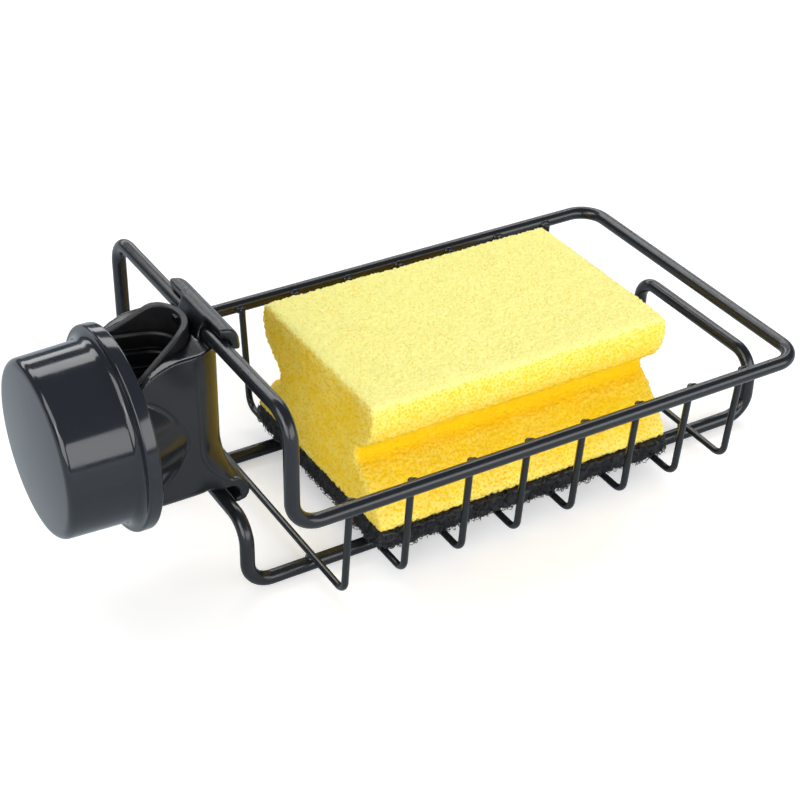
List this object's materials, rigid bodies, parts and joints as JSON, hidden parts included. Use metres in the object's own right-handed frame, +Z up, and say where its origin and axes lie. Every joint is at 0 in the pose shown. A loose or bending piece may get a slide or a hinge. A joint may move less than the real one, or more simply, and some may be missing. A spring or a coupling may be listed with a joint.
{
  "type": "sponge holder",
  "caption": "Black wire sponge basket on a plastic screw clamp that grips a tap neck, with a grip-sided cleaning sponge lying in it.",
  "frame": {"origin": "where the tap neck's vertical axis, in the clamp's lined jaw, crosses the knob's screw axis", "axes": "+Z up along the tap neck, +X from the clamp along the basket, the basket is even about Y = 0"},
  "size_m": [0.2192, 0.108, 0.0753],
  "materials": {
    "coated_wire": "satin black coating on steel wire",
    "clamp_plastic": "satin moulded black plastic with a grained hook",
    "knob_plastic": "glossy moulded black plastic",
    "liner_rubber": "grooved soft black rubber",
    "sponge_foam": "open-pored yellow foam",
    "scouring_fibre": "coarse black bonded fibre"
  },
  "bodies": {
    "holder": {"upper_rim_wire": "coated_wire", "lower_frame_wire": "coated_wire", "cross_wire_1": "coated_wire", "cross_wire_2": "coated_wire", "cross_wire_3": "coated_wire", "cross_wire_4": "coated_wire", "cross_wire_5": "coated_wire", "cross_wire_6": "coated_wire", "cross_wire_7": "coated_wire", "cross_wire_8": "coated_wire", "clamp_body": "clamp_plastic", "jaw_liner": "liner_rubber"},
    "presser": {"pressure_block": "clamp_plastic", "pressure_pad": "liner_rubber"},
    "screw_knob": {"knob": "knob_plastic"},
    "sponge": {"sponge_foam": "sponge_foam", "scouring_pad": "scouring_fibre"}
  },
  "joints": [
    {"name": "presser_slide", "type": "slide", "parent": "holder", "child": "presser", "axis": [-1, 0, 0], "range_m": [0, 0.0121]},
    {"name": "knob_turn", "type": "hinge", "parent": "presser", "child": "screw_knob", "pos_m": [-0.02, 0, 0], "axis": [-1, 0, 0], "range_deg": [0, 1080]},
    {"name": "sponge_lift", "type": "slide", "parent": "holder", "child": "sponge", "axis": [0, 0, 1], "range_m": [0, 0.09]}
  ],
  "couplings": [
    {"joint": "presser_slide", "follows": "knob_turn", "m_per_rad": 0.00063662}
  ]
}
